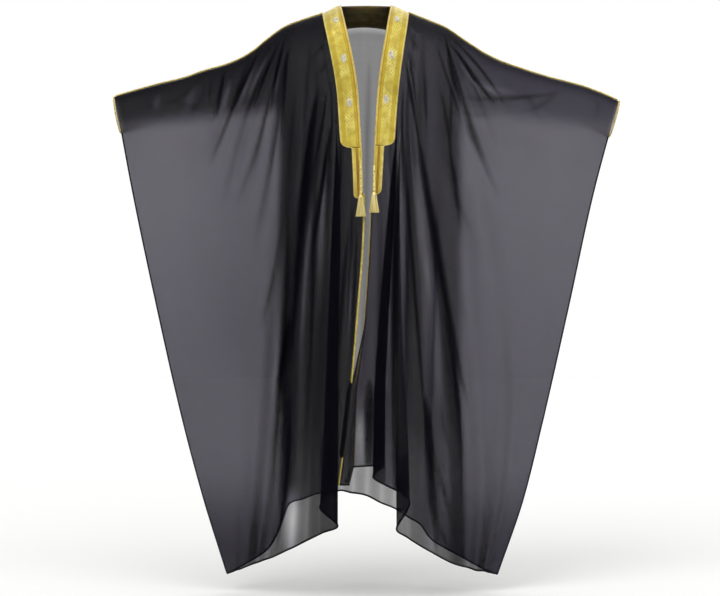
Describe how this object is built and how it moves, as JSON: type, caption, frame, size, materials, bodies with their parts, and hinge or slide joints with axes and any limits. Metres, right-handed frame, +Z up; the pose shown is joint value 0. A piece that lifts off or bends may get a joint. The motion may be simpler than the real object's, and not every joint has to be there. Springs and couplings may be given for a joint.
{
  "type": "bisht cloak",
  "caption": "Open-fronted sheer over-cloak with wide draped wings, metallic neck bands and tassel ties, in the hollow shape it has when worn with the arms held out.",
  "frame": {"origin": "middle of the neck on the shoulder line, where the wearer's shoulders carry the cloak", "axes": "+X to the wearer's left arm, +Y to the wearer's back, +Z up"},
  "size_m": [1.3425, 0.3457, 1.5205],
  "materials": {
    "cloth": "sheer matte voile",
    "zari_band": "metallic brocade",
    "zari_cord": "metallic braid",
    "tassel_silk": "soft sheen"
  },
  "bodies": {
    "root": {"back_panel": "cloth", "front_panel_right": "cloth", "front_panel_left": "cloth", "neck_band": "zari_band", "wide_band_right": "zari_band", "wide_band_left": "zari_band", "narrow_band_right": "zari_band", "narrow_band_left": "zari_band", "edge_cord_right": "zari_cord", "edge_cord_left": "zari_cord", "shoulder_cord_right": "zari_cord", "shoulder_cord_left": "zari_cord", "cuff_cord_right": "zari_cord", "cuff_cord_left": "zari_cord", "tassel_cord_right": "tassel_silk", "tassel_cord_left": "tassel_silk", "tassel_right": "tassel_silk", "tassel_left": "tassel_silk"}
  },
  "joints": []
}
